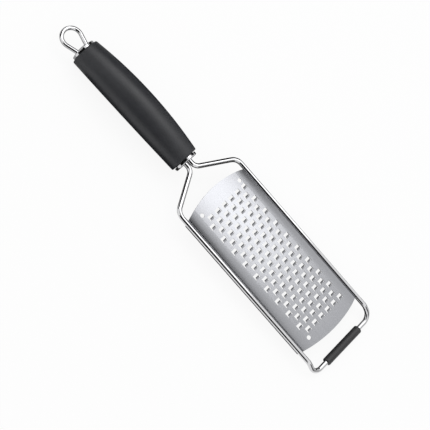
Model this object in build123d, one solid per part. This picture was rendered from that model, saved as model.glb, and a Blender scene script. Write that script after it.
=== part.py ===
from build123d import *
from math import asin, cos, degrees, radians, sin, sqrt, tan
import os

# A coarse rasp zester: a toothed, crowned steel blade hemmed onto the two rails
# of a bent steel wire frame, with a rubber foot sleeve on the frame's crossbar,
# a soft arched barrel grip over a hard core, a steel cap at each end of the
# grip, and a wire loop to hang it by. All sizes are in millimetres.
#
# While it is modelled, X runs along the tool from the grip to the foot with 0 at
# the grip's front end, Y runs across it, and Z = 0 is the plane of the rails.
# The finished pieces are then moved together, so that the origin lies in the
# middle of the tool's outline, level with its lowest point.

# --- wire frame: one rod, bent the same way on both sides ---
wire_d = 4.0              # rod thickness
rail_spacing = 70.0       # rail centre to rail centre
tail_gap = 0.5            # air between the two tails where they enter the grip
tail_depth = 42.0         # how far the tails run into the grip
neck_reach = 9.4          # grip's front end to the corner where the tails part
splay_angle = 61.5        # between a splayed shoulder arm and the tool's length
frame_reach = 191.9       # grip's front end to the crossbar's centre
foot_drop = 6.5           # crossbar's centre below the rails
foot_slope = 32.0         # slope of the frame's end, from the rails to the crossbar
neck_bend_r = 7.0         # bend radii, on the rod's centre line
shoulder_bend_r = 9.0
drop_bend_r = 8.0
corner_bend_r = 7.5

# --- blade ---
sheet = 0.5               # sheet thickness
blade_start = 30.4        # grip's front end to the blade's near end, on the middle line
blade_length = 145.1      # on the middle line
near_end_r = 90.0         # the blade's two ends bow outwards on these radii
far_end_r = 130.0
crown_r = 250.0           # the blade's middle is crowned on this radius, mid-sheet
shoulder_width = 7.7      # along each long side, where the sheet rolls down more steeply
shoulder_r = 30.0         # mid-sheet radius of that roll
hem_wrap = 150.0          # degrees of the rail that each hem goes round, from below
hem_gap = 0.05            # between the rail and the hem round it
hem_rise = 0.1            # straight upright between the hem and the edge bend
edge_bend_r = 1.0         # mid-sheet radius where the blade turns down beside a rail

# --- teeth: each is a tongue curled up out of a square opening, facing the grip ---
row_pitch = 6.385
tooth_pitch = 7.9         # across the blade; every other row is half a pitch over
near_margin = 16.2        # blade's near end to the middle of the first row
far_margin = 12.5         # least distance from the last row to the blade's far end
side_margin = 8.0         # bare sheet along each long side, at least
opening_length = 4.2
opening_width = 4.8
tongue_width = 3.2
tongue_reach = 2.3        # how far the tongue reaches over the opening
tongue_sheet = 0.4        # the tongue is drawn thinner than the sheet
tongue_curl = 52.0        # the tongue's slope at its tip, from none at its root
tongue_bevel = 0.5        # length of the sharpened underside at its tip
tongue_root = 0.6         # the part of the tongue that stays in the sheet

# --- locating holes: a pair near the grip, and one near the foot ---
locating_hole_d = 3.6
hole_side_margin = 10.4   # from each hole's middle to the blade's long side
near_hole_margin = 10.4   # blade's near end to the middle of the pair
far_hole_margin = 9.0     # blade's far end to the middle of the single hole

# --- foot sleeve ---
sleeve_length = 40.5
sleeve_d = 7.0
sleeve_gap = 0.05         # between the sleeve's bore and the crossbar
sleeve_edge_r = 0.8

# --- grip: a barrel that arches over its own straight core line ---
grip_length = 113.5       # along the core line
grip_droop = 3.4          # slope of the core line, down from the front to the butt
grip_arch = 4.3           # rise of the barrel's middle over the core line
grip_end_r = 12.2
grip_belly_r = 14.5
grip_wall = 3.0           # soft skin over the hard core
grip_edge_r = 1.0
bond_gap = 0.02           # between the skin and the core
tail_offset = 1.5         # tails above the centre of the grip's front end
barrel_stations = 7       # cross-sections that the barrel is drawn through

# --- end caps, on spigots of the core ---
cap_r = 10.2
cap_seam = 0.5            # shadow gap between the grip and a cap
cap_gap = 0.05            # between a cap and what it fits on
cap_floor = 1.0           # thickness of a cap's end wall
spigot_r = 8.6
front_cap_height = 3.0    # from the grip's front end to the cap's face
front_cap_edge_r = 1.0
butt_cap_height = 4.2     # from the grip's butt end to the top of the dome
butt_dome_r = 28.0
butt_cap_edge_r = 0.5

# --- hanging loop, bent from thinner wire ---
loop_wire_d = 3.5
loop_r = 8.2              # ring's radius, on the wire's centre line
loop_reach = 14.6         # grip's butt end to the ring's centre
loop_taper = 17.0         # lean of each leg towards the other
loop_kink_depth = 4.0     # where the legs turn parallel inside the core
loop_kink_r = 4.0
loop_leg_depth = 20.0     # how far the legs run into the core


# --- places worked out from the sizes above ---
rail_y = rail_spacing / 2
tail_y = (wire_d + tail_gap) / 2
shoulder_x = neck_reach + (rail_y - tail_y) / tan(radians(splay_angle))
drop_x = frame_reach - foot_drop / tan(radians(foot_slope))

# the grip's own frame has X along its core line and 0 at its front end;
# at each end of the grip is a frame with Z pointing out of that end
grip_frame = Pos(0, 0, -tail_offset) * Rot(0, -grip_droop, 0)
front_end = grip_frame * Rot(0, 90, 0)
butt_end = grip_frame * Pos(-grip_length, 0, 0) * Rot(0, -90, 0)

# the blade's cross-section, on the middle of the sheet: the centres of its crown,
# shoulders and edge bends, and the slopes where one arc runs into the next
hem_r = wire_d / 2 + hem_gap + sheet / 2
blade_side_y = rail_y - hem_r
edge_y = blade_side_y - edge_bend_r
crown_slope = asin((edge_y - shoulder_width) / crown_r)
shoulder_y = (crown_r - shoulder_r) * sin(crown_slope)
edge_slope = asin((edge_y - shoulder_y) / (shoulder_r - edge_bend_r))
shoulder_z = hem_rise - (shoulder_r - edge_bend_r) * cos(edge_slope)
crown_z = shoulder_z - (crown_r - shoulder_r) * cos(crown_slope)
blade_top = crown_z + crown_r
cut_depth = 4 * (blade_top + wire_d)

# the teeth fill the blade between its margins, in an odd number of rows
blade_end = blade_start + blade_length
first_row = blade_start + near_margin
row_pairs = int((blade_length - near_margin - far_margin) / (2 * row_pitch))
tooth_rows = 2 * row_pairs + 1
teeth_per_row = int(2 * (blade_side_y - side_margin) / tooth_pitch)


def bent_rod(path, diameter):
    """A round rod along a path of lines and arcs."""
    section = Plane(origin=path @ 0, z_dir=path % 0) * Circle(diameter / 2)
    return sweep(section, path=path)


def round_edges(solid):
    """The edges that close on themselves: the rims of a round solid."""
    return solid.edges().filter_by(lambda edge: edge.is_closed)


def both_sides(half):
    """Points on the +Y side, then the same points mirrored, in reverse order."""
    return half + [(x, -y, z) for x, y, z in reversed(half)]


# --- wire frame -------------------------------------------------------------


def frame_path():
    """The rod's centre line, from one tail round the crossbar to the other."""
    half = [
        (-tail_depth, tail_y, 0),
        (neck_reach, tail_y, 0),
        (shoulder_x, rail_y, 0),
        (drop_x, rail_y, 0),
        (frame_reach, rail_y, -foot_drop),
    ]
    radii = [neck_bend_r, shoulder_bend_r, drop_bend_r, corner_bend_r]
    return FilletPolyline(*both_sides(half), radius=radii + radii[::-1])


def wire_frame():
    return bent_rod(frame_path(), wire_d)


# --- blade ------------------------------------------------------------------


def section_side(shift):
    """One face of the blade's cross-section, shifted from the middle of the sheet.

    It runs from the -Y hem's free edge, under and up the inside of that rail, over
    the shoulders and the crown, and down and round the +Y rail. Arcs that turn left
    lose the shift from their radius, and arcs that turn right gain it.
    """
    hem = hem_r - shift
    edge = edge_bend_r + shift
    shoulder = shoulder_r + shift
    side = blade_side_y + shift
    top = degrees(crown_slope)
    roll = degrees(edge_slope - crown_slope)
    turn = 90 - degrees(edge_slope)
    return [
        CenterArc((-rail_y, 0), hem, -hem_wrap, hem_wrap),
        Line((-side, 0), (-side, hem_rise)),
        CenterArc((-edge_y, hem_rise), edge, 180, -turn),
        CenterArc((-shoulder_y, shoulder_z), shoulder, 90 + top + roll, -roll),
        CenterArc((0, crown_z), crown_r + shift, 90 + top, -2 * top),
        CenterArc((shoulder_y, shoulder_z), shoulder, 90 - top, -roll),
        CenterArc((edge_y, hem_rise), edge, turn, -turn),
        Line((side, hem_rise), (side, 0)),
        CenterArc((rail_y, 0), hem, 180, hem_wrap),
    ]


def blade_section():
    top = section_side(sheet / 2)
    under = section_side(-sheet / 2)
    free_edges = [
        Line(top[0] @ 0, under[0] @ 0),
        Line(top[-1] @ 1, under[-1] @ 1),
    ]
    return Plane.YZ * make_face(top + under + free_edges)


def blade_outline():
    """The blade seen from above: straight long sides and two bowed ends."""
    half_width = rail_y + hem_r + sheet
    near_corner = blade_start + near_end_r - sqrt(near_end_r**2 - half_width**2)
    far_corner = blade_end - far_end_r + sqrt(far_end_r**2 - half_width**2)
    near_end = ThreePointArc((near_corner, -half_width), (blade_start, 0), (near_corner, half_width))
    far_end = ThreePointArc((far_corner, -half_width), (blade_end, 0), (far_corner, half_width))
    sides = [Line(near_end @ 0, far_end @ 0), Line(near_end @ 1, far_end @ 1)]
    return make_face([near_end, far_end] + sides)


def on_crown(x, y):
    """Where the middle of the sheet lies at x and y, square to its crown."""
    lean = asin(y / crown_r)
    return Location((x, y, crown_z + crown_r * cos(lean)), (-degrees(lean), 0, 0))


def tooth_places():
    """Every tooth's place: staggered rows, each half a pitch over from the last."""
    places = []
    for row in range(tooth_rows):
        stagger = tooth_pitch / 4 if row % 2 == 0 else -tooth_pitch / 4
        for tooth in range(teeth_per_row):
            across = (tooth - (teeth_per_row - 1) / 2) * tooth_pitch + stagger
            places.append(on_crown(first_row + row * row_pitch, across))
    return places


def tongue():
    """A tongue rooted at the foot side of its opening, its tip raised to the grip.

    Its side view is a strip that leaves the sheet level, curls up on one radius
    and is bevelled to an edge from below.
    """
    half = tongue_sheet / 2
    root_x = opening_length / 2
    curl_r = tongue_reach / sin(radians(tongue_curl))
    bevel = degrees(tongue_bevel / curl_r)
    centre = (root_x, curl_r)
    top = CenterArc(centre, curl_r - half, -90, -tongue_curl)
    under = CenterArc(centre, curl_r + half, -90, bevel - tongue_curl)
    root = [(root_x + tongue_root, half), (root_x + tongue_root, -half)]
    side = make_face([top, under, Polyline(top @ 0, *root, under @ 0), Line(top @ 1, under @ 1)])
    return extrude(Plane.XZ * side, amount=tongue_width / 2, both=True)


def locating_holes():
    """The holes run straight down, whatever the crown's slope."""
    hole = Cylinder(locating_hole_d / 2, cut_depth)
    near_x = blade_start + near_hole_margin
    far_x = blade_end - far_hole_margin
    side_y = blade_side_y - hole_side_margin
    return [Pos(x, y, 0) * hole for x, y in ((near_x, side_y), (near_x, -side_y), (far_x, -side_y))]


def rasp_blade():
    """The sheet with its crown and hems, its openings, and a tongue in each."""
    span = blade_length + 2 * row_pitch
    band = Pos(blade_start - row_pitch, 0, 0) * extrude(blade_section(), amount=span)
    outline = extrude(blade_outline(), amount=cut_depth, both=True)
    opening = Box(opening_length, opening_width, 6 * sheet)
    places = tooth_places()
    blank = band & outline
    pierced = blank - [place * opening for place in places] - locating_holes()
    tooth = tongue()
    return pierced + [place * tooth for place in places]


# --- foot sleeve ------------------------------------------------------------


def foot_sleeve():
    tube = Cylinder(sleeve_d / 2, sleeve_length)
    tube = fillet(round_edges(tube), sleeve_edge_r)
    tube -= Cylinder(wire_d / 2 + sleeve_gap, sleeve_length)
    return Pos(frame_reach, 0, -foot_drop) * Rot(90, 0, 0) * tube


# --- grip and core ----------------------------------------------------------


def barrel(inset):
    """The barrel, drawn in all round by an inset, along the grip's core line.

    The rise of its middle and the swell of its radius both follow parabolas.
    """
    sections = []
    for station in range(barrel_stations):
        share = station / (barrel_stations - 1)
        bow = 1 - (2 * share - 1) ** 2
        radius = grip_end_r + (grip_belly_r - grip_end_r) * bow - inset
        centre = Pos(-share * grip_length, 0, grip_arch * bow)
        sections.append(centre * (Plane.YZ * Circle(radius)))
    return grip_frame * loft(sections)


def handle_grip():
    """The soft skin: a barrel with rounded end edges, open right through."""
    skin = barrel(0)
    skin = fillet(round_edges(skin), grip_edge_r)
    return skin - barrel(grip_wall)


def spigot(height):
    """The core's boss that a cap sits on, from inside the core out to under the cap."""
    root = cap_r / 2
    top = height - cap_floor - cap_gap
    return Pos(0, 0, (top - root) / 2) * Cylinder(spigot_r, top + root)


def tail_sockets():
    """A round socket for each of the frame's tails, right out past the front cap."""
    end = -tail_depth - cap_gap
    socket = Rot(0, 90, 0) * Cylinder(wire_d / 2 + cap_gap, neck_reach - end)
    return [Pos((neck_reach + end) / 2, y, 0) * socket for y in (tail_y, -tail_y)]


def leg_sockets():
    """The hanging loop's own shape, drawn thicker by the gap all round."""
    return bent_rod(loop_path(), loop_wire_d + 2 * cap_gap)


def handle_core():
    """The hard core: an inner barrel, a spigot at each end, and the wires' sockets."""
    core = barrel(grip_wall + bond_gap)
    core += front_end * spigot(front_cap_height)
    core += butt_end * spigot(butt_cap_height - butt_cap_sag())
    return core - tail_sockets() - leg_sockets()


# --- end caps ---------------------------------------------------------------


def butt_cap_sag():
    """How much lower the dome is over the spigot's rim than at its top."""
    return butt_dome_r - sqrt(butt_dome_r**2 - spigot_r**2)


def cap_pocket(top):
    """The inside of a cap, which fits over the spigot, up to its end wall."""
    depth = top - cap_floor
    return Pos(0, 0, depth / 2) * Cylinder(spigot_r + cap_gap, depth)


def front_cap():
    """A flat-faced cup with one oblong hole for both tails."""
    rim = front_cap_height - cap_seam
    cup = Pos(0, 0, cap_seam + rim / 2) * Cylinder(cap_r, rim)
    face_edge = round_edges(cup).sort_by(Axis.Z)[-1]
    cup = fillet(face_edge, front_cap_edge_r) - cap_pocket(front_cap_height)
    slot = SlotCenterToCenter(2 * tail_y, wire_d + 2 * cap_gap)
    passage = extrude(Plane.YZ * slot, amount=neck_reach)
    return front_end * cup - passage


def butt_cap():
    """A domed cup with a hole for each leg of the hanging loop."""
    ball = Pos(0, 0, butt_cap_height - butt_dome_r) * Sphere(butt_dome_r)
    rim = butt_cap_height - cap_seam
    cup = Pos(0, 0, cap_seam + rim / 2) * Cylinder(cap_r, rim) & ball
    rim_edge = round_edges(cup).sort_by(Axis.Z)[-1]
    cup = fillet(rim_edge, butt_cap_edge_r) - cap_pocket(butt_cap_height - butt_cap_sag())
    return butt_end * cup - leg_sockets()


# --- hanging loop -----------------------------------------------------------


def loop_path():
    """The loop's centre line, in the plane through the butt's axis and Y.

    Each leg leaves the ring at a tangent, leans towards the other, and turns
    parallel to it inside the core.
    """
    lean = radians(loop_taper)
    ring_x = loop_r * cos(lean)
    ring_y = loop_reach - loop_r * sin(lean)
    kink_x = ring_x - (ring_y + loop_kink_depth) * tan(lean)

    def leg(side):
        return FilletPolyline(
            (side * kink_x, -loop_leg_depth),
            (side * kink_x, -loop_kink_depth),
            (side * ring_x, ring_y),
            radius=[loop_kink_r],
        )

    ring = CenterArc((0, loop_reach), loop_r, -loop_taper, 180 + 2 * loop_taper)
    flat = Wire(leg(1).edges() + ring.edges() + leg(-1).edges())
    return butt_end * (Plane.YZ * flat)


def hanging_loop():
    return bent_rod(loop_path(), loop_wire_d)


# --- the whole tool ---------------------------------------------------------


def to_base_centre(parts):
    """Moves all pieces so that the origin is under the middle of their outline."""
    boxes = [part.bounding_box() for part in parts.values()]
    low_x, high_x = min(b.min.X for b in boxes), max(b.max.X for b in boxes)
    low_z = min(b.min.Z for b in boxes)
    shift = Pos(-(low_x + high_x) / 2, 0, -low_z)
    return {name: shift * part for name, part in parts.items()}


def main():
    parts = {
        "wire_frame": wire_frame(),
        "rasp_blade": rasp_blade(),
        "foot_sleeve": foot_sleeve(),
        "handle_grip": handle_grip(),
        "handle_core": handle_core(),
        "front_cap": front_cap(),
        "butt_cap": butt_cap(),
        "hanging_loop": hanging_loop(),
    }
    os.makedirs("parts", exist_ok=True)
    for name, part in to_base_centre(parts).items():
        export_step(part, f"parts/{name}.step")


main()
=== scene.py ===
import bpy
import numpy as np
from mathutils import Matrix

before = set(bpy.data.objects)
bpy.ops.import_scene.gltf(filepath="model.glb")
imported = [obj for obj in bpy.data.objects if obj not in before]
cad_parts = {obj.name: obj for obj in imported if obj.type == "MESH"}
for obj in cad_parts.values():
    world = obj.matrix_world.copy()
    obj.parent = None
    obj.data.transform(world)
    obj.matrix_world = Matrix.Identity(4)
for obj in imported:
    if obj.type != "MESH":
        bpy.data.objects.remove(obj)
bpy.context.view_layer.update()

bl_info = {
    "name": "Rasp zester looks",
    "version": (1, 0, 0),
    "blender": (4, 5, 0),
    "location": "3D View > Sidebar > Rasp zester",
    "description": "Finishes the packed rasp zester and sets it on a plain pale studio floor",
    "category": "Object",
}

MM = 0.001
WHITE = (1.0, 1.0, 1.0, 1.0)

# How fine the steel's lines are: noise cells for each metre along X, Y and Z. The blade's
# lines run along X and the caps' run round X. The wires turn every way, so theirs are
# even patches.
SHEET_LINES = (45.0, 5200.0, 5200.0)
WIRE_LINES = (900.0, 900.0, 900.0)
CAP_LINES = (4000.0, 200.0, 200.0)

# How fine the rubber's pebbles are: cells for each metre.
GRIP_PEBBLE = 2600.0
CORE_PEBBLE = 1500.0
SLEEVE_PEBBLE = 2200.0

NOISE_SPAN = (0.35, 0.65)     # where most of a noise's values lie
CORE_ROUGHNESS = 0.4          # the hard core under the grip's skin
WEAR_STRENGTH = 0.25          # how far handling marks change the blade's colour
WORN_SHADE = 0.9              # the blade's colour under such marks, as a share of its own
FLOOR_ROUGHNESS = 0.9
FLOOR_GLOW = 0.9              # the share of the floor that glows, where it is seen directly

# The camera. Its turn from looking along +Y, its height over the horizon and its roll are
# in degrees, the point that it looks at, how far it stands from there and how far it sees
# are in metres, and its lens and sensor are in millimetres.
CAMERA_TURN = -9.8485
CAMERA_HEIGHT = 62.9106
CAMERA_ROLL = 57.6751
CAMERA_AIM = (0.01877, -0.01200, 0.02)
CAMERA_DISTANCE = 1.26576
CAMERA_SIGHT = 50.0
CAMERA_LENS = 137.11
CAMERA_SENSOR = 36.0

# The soft lamps: place, the point that they face, and their width and height, in metres.
LAMPS = {
    "softbox": ((-0.4, 0.77, 1.51), (-0.4, 0.0, 0.0), (1.4, 0.7)),
    "side_light": ((-0.9, 0.1, 1.55), (-0.05, 0.0, 0.0), (0.5, 0.5)),
}

# The cards on a wide dome round the tool, which draw the dark lines in polished steel:
# azimuths from +X towards +Y and elevations, in degrees, and grey level. The dome's
# radius is in metres.
CARD_RADIUS = 3.0
CARDS = {
    "card_near": ((-115.0, -65.0), (8.0, 60.0), 0.01),
    "card_near_top": ((-160.0, -56.0), (60.0, 86.0), 0.01),
    "card_far": ((84.0, 105.0), (1.0, 38.0), 0.02),
    "card_far_low": ((60.0, 84.0), (1.0, 10.0), 0.02),
    "card_foot": ((14.0, 60.0), (1.0, 30.0), 0.45),
    "card_foot_side": ((-20.0, 12.0), (1.0, 44.0), 0.02),
    "card_arm": ((105.0, 129.0), (0.0, 52.0), 0.01),
    "card_crossbar": ((142.0, 160.0), (1.0, 30.0), 0.01),
    "card_butt": ((160.0, 205.0), (0.0, 52.0), 0.01),
}

# The cards just over the floor, for the shade that steel shows under and behind the tool:
# ends in X and in Y, in metres, and grey level.
CARD_LIFT = 0.5 * MM
FLOOR_CARDS = {
    "card_under": ((0.0, 0.15), (-0.022, 0.036), 0.02),
    "card_under_foot": ((0.15, 0.164), (-0.033, 0.06), 0.01),
    "card_behind": ((-0.13, 0.0), (-0.036, 0.3), 0.02),
    "card_under_loop": ((-0.25, -0.13), (-0.036, 0.3), 0.4),
    "card_left": ((-2.9, -0.25), (-0.3, -0.02), 0.02),
    "card_right": ((-0.9, -0.13), (0.16, 1.2), 0.02),
}


# --- helpers for materials ---------------------------------------------------


def add(tree, kind, **values):
    """A node of one kind, with its inputs set by name, spaces written as underscores."""
    node = tree.nodes.new(kind)
    for name, value in values.items():
        key = name.replace("_", " ")
        if key in node.inputs:
            node.inputs[key].default_value = value
        else:
            setattr(node, name, value)
    return node


def link(tree, source, target):
    """Joins an output socket to an input socket."""
    tree.links.new(source, target)


def scalar(tree, operation, a, b, clamp=False):
    """A Math node on two sockets or plain numbers, giving its output socket."""
    node = add(tree, "ShaderNodeMath", operation=operation, use_clamp=clamp)
    for socket, value in zip(node.inputs, (a, b)):
        if isinstance(value, (int, float)):
            socket.default_value = value
        else:
            link(tree, value, socket)
    return node.outputs[0]


def mapped(tree, value, low, high, to_low, to_high):
    """A value carried from one range to another, held within it."""
    node = add(tree, "ShaderNodeMapRange", From_Min=low, From_Max=high, To_Min=to_low, To_Max=to_high)
    link(tree, value, node.inputs["Value"])
    return node.outputs["Result"]


def full_contrast(tree, noise):
    """A noise stretched so that it runs from 0 to 1."""
    return mapped(tree, noise, *NOISE_SPAN, 0.0, 1.0)


def blended(tree, first, second, share):
    """The sum of two values, the first times its share and the second times the rest."""
    part = scalar(tree, "MULTIPLY", first, share)
    rest = scalar(tree, "MULTIPLY", second, 1.0 - share)
    return scalar(tree, "ADD", part, rest)


def ramp(tree, mask, start, rise):
    """A value that is start where a mask is 0, and start plus rise where it is 1."""
    return scalar(tree, "ADD", scalar(tree, "MULTIPLY", mask, rise), start)


def mix_colours(tree, factor, first, second):
    """A colour between two, each given as a plain colour or as a socket."""
    node = add(tree, "ShaderNodeMix", data_type="RGBA")
    link(tree, factor, node.inputs["Factor"])
    ends = [socket for socket in node.inputs if socket.type == "RGBA"]
    for socket, colour in zip(ends, (first, second)):
        if isinstance(colour, bpy.types.NodeSocket):
            link(tree, colour, socket)
        else:
            socket.default_value = colour
    return next(socket for socket in node.outputs if socket.type == "RGBA")


def shade(colour, factor):
    """A colour made lighter or darker by one factor."""
    return tuple(min(1.0, c * factor) for c in colour[:3]) + (1.0,)


def two_tone(tree, mask, colour, darker, lighter):
    """A colour that runs with a mask from a darker to a lighter shade of itself."""
    return mix_colours(tree, mask, shade(colour, darker), shade(colour, lighter))


def bump(tree, height, shader, strength, distance):
    """Small relief on a shader, from a height that runs from 0 to 1, distance deep."""
    node = add(tree, "ShaderNodeBump", Strength=strength, Distance=distance)
    link(tree, height, node.inputs["Height"])
    link(tree, node.outputs["Normal"], shader.inputs["Normal"])


# --- effects that several materials use --------------------------------------


def new_group(name, inputs, outputs):
    """An empty shader group and its two end nodes.

    Each input has a label, a kind and a default, and each output, a float, has a label.
    """
    group = bpy.data.node_groups.new(name, "ShaderNodeTree")
    kinds = {"float": "NodeSocketFloat", "vector": "NodeSocketVector"}
    for label, kind, value in inputs:
        socket = group.interface.new_socket(label, in_out="INPUT", socket_type=kinds[kind])
        socket.default_value = value
    for label in outputs:
        group.interface.new_socket(label, in_out="OUTPUT", socket_type=kinds["float"])
    return group, group.nodes.new("NodeGroupInput"), group.nodes.new("NodeGroupOutput")


def set_texture(group, texture, start, scale, factor):
    """Lays a texture out over the group's place, at a factor times one of its scales."""
    link(group, start.outputs["Place"], texture.inputs["Vector"])
    link(group, scalar(group, "MULTIPLY", start.outputs[scale], factor), texture.inputs["Scale"])


def grain_group():
    """Drawn or brushed lines: noise squeezed across the lines and stretched along them.

    Mask runs from 0 to 1, with the contrast asked for, and Height is the plain noise,
    for a bump.
    """
    name = "brushed_lines"
    if name in bpy.data.node_groups:
        return bpy.data.node_groups[name]
    group, start, end = new_group(
        name,
        [
            ("Place", "vector", (0.0, 0.0, 0.0)),
            ("Line Count", "vector", SHEET_LINES),
            ("Contrast", "float", 1.0),
        ],
        ["Mask", "Height"],
    )
    stretch = add(group, "ShaderNodeVectorMath", operation="MULTIPLY")
    link(group, start.outputs["Place"], stretch.inputs[0])
    link(group, start.outputs["Line Count"], stretch.inputs[1])
    noise = add(group, "ShaderNodeTexNoise", Scale=1.0, Detail=3.0, Roughness=0.6)
    link(group, stretch.outputs[0], noise.inputs["Vector"])
    centred = scalar(group, "SUBTRACT", noise.outputs["Fac"], 0.5)
    spread = scalar(group, "MULTIPLY", centred, start.outputs["Contrast"])
    mask = scalar(group, "ADD", spread, 0.5, clamp=True)
    link(group, mask, end.inputs["Mask"])
    link(group, noise.outputs["Fac"], end.inputs["Height"])
    return group


def wear_group():
    """Handling marks: broad soft patches broken up by finer ones, from 0 to 1."""
    name = "handling_marks"
    if name in bpy.data.node_groups:
        return bpy.data.node_groups[name]
    group, start, end = new_group(
        name,
        [("Place", "vector", (0.0, 0.0, 0.0)), ("Patch Scale", "float", 40.0)],
        ["Mask"],
    )
    broad = add(group, "ShaderNodeTexNoise", Detail=2.0, Roughness=0.5)
    fine = add(group, "ShaderNodeTexNoise", Detail=4.0, Roughness=0.6)
    set_texture(group, broad, start, "Patch Scale", factor=1.0)
    set_texture(group, fine, start, "Patch Scale", factor=7.0)
    marks = blended(group, broad.outputs["Fac"], fine.outputs["Fac"], share=0.7)
    link(group, full_contrast(group, marks), end.inputs["Mask"])
    return group


def skin_group():
    """Moulded rubber skin: a fine pebble from smooth cells, with a slower unevenness."""
    name = "moulded_skin"
    if name in bpy.data.node_groups:
        return bpy.data.node_groups[name]
    group, start, end = new_group(
        name,
        [("Place", "vector", (0.0, 0.0, 0.0)), ("Pebble Scale", "float", GRIP_PEBBLE)],
        ["Mask", "Height"],
    )
    cells = add(group, "ShaderNodeTexVoronoi", feature="SMOOTH_F1", Smoothness=0.8)
    slow = add(group, "ShaderNodeTexNoise", Detail=3.0, Roughness=0.55)
    set_texture(group, cells, start, "Pebble Scale", factor=1.0)
    set_texture(group, slow, start, "Pebble Scale", factor=0.06)
    height = blended(group, cells.outputs["Distance"], slow.outputs["Fac"], share=0.6)
    link(group, height, end.inputs["Height"])
    link(group, full_contrast(group, slow.outputs["Fac"]), end.inputs["Mask"])
    return group


def place_group(tree, group, coordinates, **values):
    """A shader group set into a material, reading the object's own coordinates."""
    node = tree.nodes.new("ShaderNodeGroup")
    node.node_tree = group
    link(tree, coordinates, node.inputs["Place"])
    for name, value in values.items():
        node.inputs[name.replace("_", " ")].default_value = value
    return node


# --- the tool's finishes -----------------------------------------------------


def start_material(name):
    """A material with one Principled shader, its tree, and the object's coordinates."""
    material = bpy.data.materials.new(name)
    material.use_nodes = True
    tree = material.node_tree
    shader = tree.nodes["Principled BSDF"]
    coordinates = add(tree, "ShaderNodeTexCoord").outputs["Object"]
    return material, tree, shader, coordinates


def brushed_sheet(settings):
    """Sheet steel brushed along the tool: fine lines in colour, gloss and height."""
    material, tree, shader, coordinates = start_material("brushed_sheet")
    lines = place_group(tree, grain_group(), coordinates, Line_Count=SHEET_LINES, Contrast=2.2)
    marks = place_group(tree, wear_group(), coordinates, Patch_Scale=22.0)
    colour = settings.sheet_colour
    lined = two_tone(tree, lines.outputs["Mask"], colour, darker=0.93, lighter=1.05)
    wear = scalar(tree, "MULTIPLY", marks.outputs["Mask"], WEAR_STRENGTH)
    worn = mix_colours(tree, wear, lined, shade(colour, WORN_SHADE))
    link(tree, worn, shader.inputs["Base Color"])
    gloss = ramp(tree, lines.outputs["Mask"], start=settings.sheet_roughness - 0.04, rise=0.08)
    link(tree, gloss, shader.inputs["Roughness"])
    shader.inputs["Metallic"].default_value = 1.0
    shader.inputs["Anisotropic"].default_value = settings.sheet_grain
    shader.inputs["Anisotropic Rotation"].default_value = 0.25     # a quarter turn from the tangent
    along = add(tree, "ShaderNodeVectorTransform", vector_type="VECTOR", Vector=(1.0, 0.0, 0.0))
    along.convert_from, along.convert_to = "OBJECT", "WORLD"
    link(tree, along.outputs["Vector"], shader.inputs["Tangent"])
    bump(tree, lines.outputs["Height"], shader, strength=0.12, distance=0.02 * MM)
    return material


def polished_steel(settings, name, line_count):
    """Polished rod or cup: mirror-like, with faint lines left by drawing or turning."""
    material, tree, shader, coordinates = start_material(name)
    lines = place_group(tree, grain_group(), coordinates, Line_Count=line_count, Contrast=1.6)
    marks = place_group(tree, wear_group(), coordinates, Patch_Scale=60.0)
    colour = two_tone(tree, lines.outputs["Mask"], settings.wire_colour, darker=0.96, lighter=1.03)
    link(tree, colour, shader.inputs["Base Color"])
    gloss = ramp(tree, marks.outputs["Mask"], start=settings.wire_roughness, rise=0.05)
    link(tree, gloss, shader.inputs["Roughness"])
    shader.inputs["Metallic"].default_value = 1.0
    bump(tree, lines.outputs["Height"], shader, strength=0.04, distance=0.01 * MM)
    return material


def moulded_rubber(name, colour, roughness, pebble):
    """Matte rubber: dark, finely pebbled, a little smoother where it is handled."""
    material, tree, shader, coordinates = start_material(name)
    skin = place_group(tree, skin_group(), coordinates, Pebble_Scale=pebble)
    marks = place_group(tree, wear_group(), coordinates, Patch_Scale=30.0)
    toned = two_tone(tree, skin.outputs["Mask"], colour, darker=0.88, lighter=1.12)
    link(tree, toned, shader.inputs["Base Color"])
    gloss = ramp(tree, marks.outputs["Mask"], start=roughness + 0.03, rise=-0.06)
    link(tree, gloss, shader.inputs["Roughness"])
    shader.inputs["Specular IOR Level"].default_value = 0.65
    bump(tree, skin.outputs["Height"], shader, strength=0.25, distance=0.05 * MM)
    return material


def dress(names, material):
    """Gives CAD nodes one material."""
    for name in names:
        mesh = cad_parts[name].data
        mesh.materials.clear()
        mesh.materials.append(material)


# --- the stage ---------------------------------------------------------------


def node_points(name):
    """All corners of a CAD node's mesh, one row each."""
    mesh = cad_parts[name].data
    points = np.empty(len(mesh.vertices) * 3, np.float32)
    mesh.vertices.foreach_get("co", points)
    return points.reshape(-1, 3).astype(float)


def resting_plane(rounds=6):
    """Slope and height of the floor that touches the grip's butt and the foot sleeve.

    The floor is z = height + slope * x. The slope starts level and is set again
    and again to join the lowest points of the two pieces, until it is steady.
    """
    grip, sleeve = node_points("handle_grip"), node_points("foot_sleeve")
    slope = 0.0
    for _ in range(rounds):
        low_grip = grip[np.argmin(grip[:, 2] - slope * grip[:, 0])]
        low_sleeve = sleeve[np.argmin(sleeve[:, 2] - slope * sleeve[:, 0])]
        slope = (low_sleeve[2] - low_grip[2]) / (low_sleeve[0] - low_grip[0])
    return slope, low_grip[2] - slope * low_grip[0]


def surface(name, points, material):
    """An object from a grid of points, rows by columns, with a quad in each cell."""
    rows, columns = points.shape[:2]
    index = np.arange(rows * columns).reshape(rows, columns)
    corners = (index[:-1, :-1], index[1:, :-1], index[1:, 1:], index[:-1, 1:])
    quads = np.stack(corners, axis=-1).reshape(-1, 4)
    mesh = bpy.data.meshes.new(name)
    mesh.from_pydata(points.reshape(-1, 3).tolist(), [], quads.tolist())
    mesh.materials.append(material)
    piece = bpy.data.objects.new(name, mesh)
    bpy.context.scene.collection.objects.link(piece)
    return piece


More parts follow.
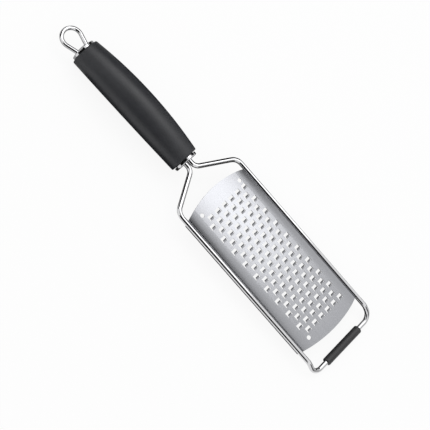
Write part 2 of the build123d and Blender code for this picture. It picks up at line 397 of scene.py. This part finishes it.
def dome_patch(azimuths, elevations, steps=24):
    """Part of a sphere round the origin, between two azimuths and two elevations.

    Each is times the cards' radius: x is the cosine of the elevation times the cosine
    of the azimuth, y the same with the azimuth's sine, and z the elevation's sine.
    """
    turn = np.radians(np.linspace(*azimuths, steps))
    rise = np.radians(np.linspace(*elevations, steps))
    turn, rise = np.meshgrid(turn, rise, indexing="ij")
    across = np.cos(rise)
    return CARD_RADIUS * np.stack([across * np.cos(turn), across * np.sin(turn), np.sin(rise)], axis=-1)


def floor_patch(slope, height, reach, width):
    """A flat rectangle on the tilted floor, from its two ends in X and in Y.

    z is the height plus the slope times x.
    """
    along, across = np.meshgrid(reach, width, indexing="ij")
    return np.stack([along, across, height + slope * along], axis=-1)


def seen_directly(tree):
    """1 for camera, glossy and transmitted rays, and 0 for the rest."""
    path = add(tree, "ShaderNodeLightPath")
    seen = scalar(tree, "MAXIMUM", path.outputs["Is Camera Ray"], path.outputs["Is Glossy Ray"])
    return scalar(tree, "MAXIMUM", seen, path.outputs["Is Transmission Ray"])


def floor_material(colour):
    """A pale floor that keeps the tool's soft shadow and reads as white to the camera.

    Part of it glows evenly to the rays that see it directly.
    """
    material = bpy.data.materials.new("pale_floor")
    material.use_nodes = True
    tree = material.node_tree
    shader = tree.nodes["Principled BSDF"]
    shader.inputs["Base Color"].default_value = tuple(colour) + (1.0,)
    shader.inputs["Roughness"].default_value = FLOOR_ROUGHNESS
    shader.inputs["Specular IOR Level"].default_value = 0.0
    glow = add(tree, "ShaderNodeEmission", Color=WHITE, Strength=1.0)
    blend = add(tree, "ShaderNodeMixShader")
    link(tree, scalar(tree, "MULTIPLY", seen_directly(tree), FLOOR_GLOW), blend.inputs[0])
    link(tree, shader.outputs[0], blend.inputs[1])
    link(tree, glow.outputs[0], blend.inputs[2])
    link(tree, blend.outputs[0], tree.nodes["Material Output"].inputs["Surface"])
    return material


def card_material(name, level):
    """An even grey of one level, whatever light falls on the card."""
    material = bpy.data.materials.new(name)
    material.use_nodes = True
    tree = material.node_tree
    tree.nodes.remove(tree.nodes["Principled BSDF"])
    glow = add(tree, "ShaderNodeEmission", Color=(level, level, level, 1.0), Strength=1.0)
    link(tree, glow.outputs[0], tree.nodes["Material Output"].inputs["Surface"])
    return material


def add_card(name, points, level):
    """A card that only reflections see."""
    card = surface(name, points, card_material(name, level))
    card.visible_camera = False
    card.visible_diffuse = False
    card.visible_shadow = False
    card.visible_transmission = False


def set_world(ambient):
    """White to camera, glossy and transmitted rays, and soft light from all round."""
    world = bpy.data.worlds.new("soft_studio")
    world.use_nodes = True
    tree = world.node_tree
    background = tree.nodes["Background"]
    background.inputs["Color"].default_value = WHITE
    strength = mapped(tree, seen_directly(tree), 0.0, 1.0, ambient, 1.0)
    link(tree, strength, background.inputs["Strength"])
    bpy.context.scene.world = world


def from_axes(right, up, back, place):
    """The matrix of an object whose X, Y and Z axes and place are given."""
    matrix = np.eye(4)
    matrix[:3, 0], matrix[:3, 1], matrix[:3, 2], matrix[:3, 3] = right, up, back, place
    return Matrix(matrix.tolist())


def add_lamp(name, power, place, towards, size):
    """An area lamp at a place, turned towards a point, with a width and a height."""
    data = bpy.data.lights.new(name, "AREA")
    data.shape = "RECTANGLE"
    data.size, data.size_y = size
    data.energy = power
    light = bpy.data.objects.new(name, data)
    place, towards = np.array(place), np.array(towards)
    back = (place - towards) / np.linalg.norm(place - towards)
    right = np.array([1.0, 0.0, 0.0]) - back[0] * back
    right /= np.linalg.norm(right)
    light.matrix_world = from_axes(right, np.cross(back, right), back, place)
    bpy.context.scene.collection.objects.link(light)


def set_camera():
    """The camera that looks at the tool as the photograph does.

    With no roll, its right axis is level. The roll then turns right and up about the
    back axis, which points from the aim to the camera.
    """
    turn, rise, roll = np.radians([CAMERA_TURN, CAMERA_HEIGHT, CAMERA_ROLL])
    back = np.array([np.sin(turn) * np.cos(rise), -np.cos(turn) * np.cos(rise), np.sin(rise)])
    level = np.array([np.cos(turn), np.sin(turn), 0.0])
    right = np.cos(roll) * level + np.sin(roll) * np.cross(back, level)
    place = np.array(CAMERA_AIM) + CAMERA_DISTANCE * back

    data = bpy.data.cameras.new("camera")
    data.lens = CAMERA_LENS
    data.sensor_width = CAMERA_SENSOR
    data.clip_end = CAMERA_SIGHT
    camera = bpy.data.objects.new("camera", data)
    camera.matrix_world = from_axes(right, np.cross(back, right), back, place)
    bpy.context.scene.collection.objects.link(camera)
    bpy.context.scene.camera = camera


# --- settings ----------------------------------------------------------------


class RaspSteelSettings(bpy.types.PropertyGroup):
    """Colour and gloss of the steel pieces"""

    sheet_colour: bpy.props.FloatVectorProperty(
        name="Sheet colour",
        description="Base colour of the blade's brushed steel",
        subtype="COLOR",
        size=3,
        min=0.0,
        max=1.0,
        default=(0.375, 0.38, 0.40),
    )
    sheet_roughness: bpy.props.FloatProperty(
        name="Sheet roughness",
        description="Roughness of the blade, on average over its brushed lines",
        subtype="FACTOR",
        min=0.0,
        max=1.0,
        default=0.22,
    )
    sheet_grain: bpy.props.FloatProperty(
        name="Sheet grain",
        description="How much more the blade scatters light across its brushed lines than along them",
        subtype="FACTOR",
        min=0.0,
        max=1.0,
        default=0.5,
    )
    wire_colour: bpy.props.FloatVectorProperty(
        name="Wire colour",
        description="Base colour of the polished wires and caps",
        subtype="COLOR",
        size=3,
        min=0.0,
        max=1.0,
        default=(0.67, 0.67, 0.68),
    )
    wire_roughness: bpy.props.FloatProperty(
        name="Wire roughness",
        description="Roughness of the polished wires and caps where they are least handled",
        subtype="FACTOR",
        min=0.0,
        max=1.0,
        default=0.04,
    )


class RaspRubberSettings(bpy.types.PropertyGroup):
    """Colour and gloss of the rubber pieces"""

    grip_colour: bpy.props.FloatVectorProperty(
        name="Grip colour",
        description="Base colour of the grip's soft skin",
        subtype="COLOR",
        size=3,
        min=0.0,
        max=1.0,
        default=(0.013, 0.014, 0.018),
    )
    grip_roughness: bpy.props.FloatProperty(
        name="Grip roughness",
        description="Roughness of the grip's soft skin",
        subtype="FACTOR",
        min=0.0,
        max=1.0,
        default=0.47,
    )
    sleeve_colour: bpy.props.FloatVectorProperty(
        name="Sleeve colour",
        description="Base colour of the rubber foot sleeve",
        subtype="COLOR",
        size=3,
        min=0.0,
        max=1.0,
        default=(0.018, 0.018, 0.020),
    )
    sleeve_roughness: bpy.props.FloatProperty(
        name="Sleeve roughness",
        description="Roughness of the rubber foot sleeve",
        subtype="FACTOR",
        min=0.0,
        max=1.0,
        default=0.5,
    )


class RaspStageSettings(bpy.types.PropertyGroup):
    """Size and colour of the floor, and strength of the lights"""

    floor_size: bpy.props.FloatProperty(
        name="Floor size",
        description="Side of the pale floor under the tool",
        subtype="DISTANCE",
        unit="LENGTH",
        min=1.0,
        default=8.0,
    )
    floor_colour: bpy.props.FloatVectorProperty(
        name="Floor colour",
        description="Base colour of the floor",
        subtype="COLOR",
        size=3,
        min=0.0,
        max=1.0,
        default=(0.86, 0.86, 0.86),
    )
    ambient: bpy.props.FloatProperty(
        name="Ambient light",
        description="Strength of the soft light from all round",
        min=0.0,
        default=0.8,
    )
    softbox_power: bpy.props.FloatProperty(
        name="Softbox power",
        description="Power of the large soft lamp above the tool's far side",
        subtype="POWER",
        unit="POWER",
        min=0.0,
        default=5.8,
    )
    side_power: bpy.props.FloatProperty(
        name="Side light power",
        description="Power of the smaller soft lamp over the butt",
        subtype="POWER",
        unit="POWER",
        min=0.0,
        default=1.8,
    )


# --- operators ---------------------------------------------------------------


class RASP_OT_stage(bpy.types.Operator):
    """Sets up the camera, the pale floor, the soft lights and the cards that steel reflects"""

    bl_idname = "rasp.stage"
    bl_label = "Set up the stage"

    def execute(self, context):
        settings = context.scene.rasp_stage
        slope, height = resting_plane()
        half = settings.floor_size / 2
        ground = floor_patch(slope, height, (-half, half), (-half, half))
        surface("floor", ground, floor_material(settings.floor_colour))
        for name, (azimuths, elevations, level) in CARDS.items():
            add_card(name, dome_patch(azimuths, elevations), level)
        for name, (reach, width, level) in FLOOR_CARDS.items():
            add_card(name, floor_patch(slope, height + CARD_LIFT, reach, width), level)
        set_world(settings.ambient)
        powers = {"softbox": settings.softbox_power, "side_light": settings.side_power}
        for name, placing in LAMPS.items():
            add_lamp(name, powers[name], *placing)
        set_camera()
        context.scene.view_settings.view_transform = "Standard"
        return {"FINISHED"}


class RASP_OT_wires(bpy.types.Operator):
    """Finishes the wire frame and the hanging loop in polished steel"""

    bl_idname = "rasp.wires"
    bl_label = "Finish the wires"

    def execute(self, context):
        steel = context.scene.rasp_steel
        dress(["wire_frame", "hanging_loop"], polished_steel(steel, "polished_wire", WIRE_LINES))
        return {"FINISHED"}


class RASP_OT_caps(bpy.types.Operator):
    """Finishes the two end caps in polished, turned steel"""

    bl_idname = "rasp.caps"
    bl_label = "Finish the caps"

    def execute(self, context):
        steel = context.scene.rasp_steel
        dress(["front_cap", "butt_cap"], polished_steel(steel, "polished_cap", CAP_LINES))
        return {"FINISHED"}


class RASP_OT_blade(bpy.types.Operator):
    """Finishes the toothed blade in steel brushed along its length"""

    bl_idname = "rasp.blade"
    bl_label = "Finish the blade"

    def execute(self, context):
        dress(["rasp_blade"], brushed_sheet(context.scene.rasp_steel))
        return {"FINISHED"}


class RASP_OT_grip(bpy.types.Operator):
    """Finishes the grip's soft skin and the core under it"""

    bl_idname = "rasp.grip"
    bl_label = "Finish the grip"

    def execute(self, context):
        rubber = context.scene.rasp_rubber
        skin = moulded_rubber("soft_skin", rubber.grip_colour, rubber.grip_roughness, GRIP_PEBBLE)
        dress(["handle_grip"], skin)
        core = moulded_rubber("hard_core", rubber.grip_colour, CORE_ROUGHNESS, CORE_PEBBLE)
        dress(["handle_core"], core)
        return {"FINISHED"}


class RASP_OT_sleeve(bpy.types.Operator):
    """Finishes the rubber sleeve on the foot"""

    bl_idname = "rasp.sleeve"
    bl_label = "Finish the foot sleeve"

    def execute(self, context):
        rubber = context.scene.rasp_rubber
        sleeve = moulded_rubber(
            "sleeve_rubber", rubber.sleeve_colour, rubber.sleeve_roughness, SLEEVE_PEBBLE
        )
        dress(["foot_sleeve"], sleeve)
        return {"FINISHED"}


OPERATORS = (
    RASP_OT_stage,
    RASP_OT_wires,
    RASP_OT_caps,
    RASP_OT_blade,
    RASP_OT_grip,
    RASP_OT_sleeve,
)

SETTINGS = {
    "rasp_steel": RaspSteelSettings,
    "rasp_rubber": RaspRubberSettings,
    "rasp_stage": RaspStageSettings,
}


class RASP_PT_panel(bpy.types.Panel):
    """Lists the zester's colours, gloss and lights, and the steps that use them"""

    bl_idname = "RASP_PT_panel"
    bl_label = "Rasp zester"
    bl_space_type = "VIEW_3D"
    bl_region_type = "UI"
    bl_category = "Rasp zester"

    def draw(self, context):
        layout = self.layout
        for group, kind in SETTINGS.items():
            box = layout.box()
            for name in kind.__annotations__:
                box.prop(getattr(context.scene, group), name)
        for operator in OPERATORS:
            layout.operator(operator.bl_idname)


def register():
    """Makes the classes known and hangs the settings on the scene."""
    for kind in (*SETTINGS.values(), *OPERATORS, RASP_PT_panel):
        bpy.utils.register_class(kind)
    for name, kind in SETTINGS.items():
        setattr(bpy.types.Scene, name, bpy.props.PointerProperty(type=kind))


def unregister():
    """Takes the settings and the classes away again."""
    for name in SETTINGS:
        delattr(bpy.types.Scene, name)
    for kind in (RASP_PT_panel, *reversed(OPERATORS), *SETTINGS.values()):
        bpy.utils.unregister_class(kind)


def main():
    """Runs every step in order."""
    register()
    bpy.ops.rasp.stage()
    bpy.ops.rasp.wires()
    bpy.ops.rasp.caps()
    bpy.ops.rasp.blade()
    bpy.ops.rasp.grip()
    bpy.ops.rasp.sleeve()


if __name__ == "__main__":
    main()
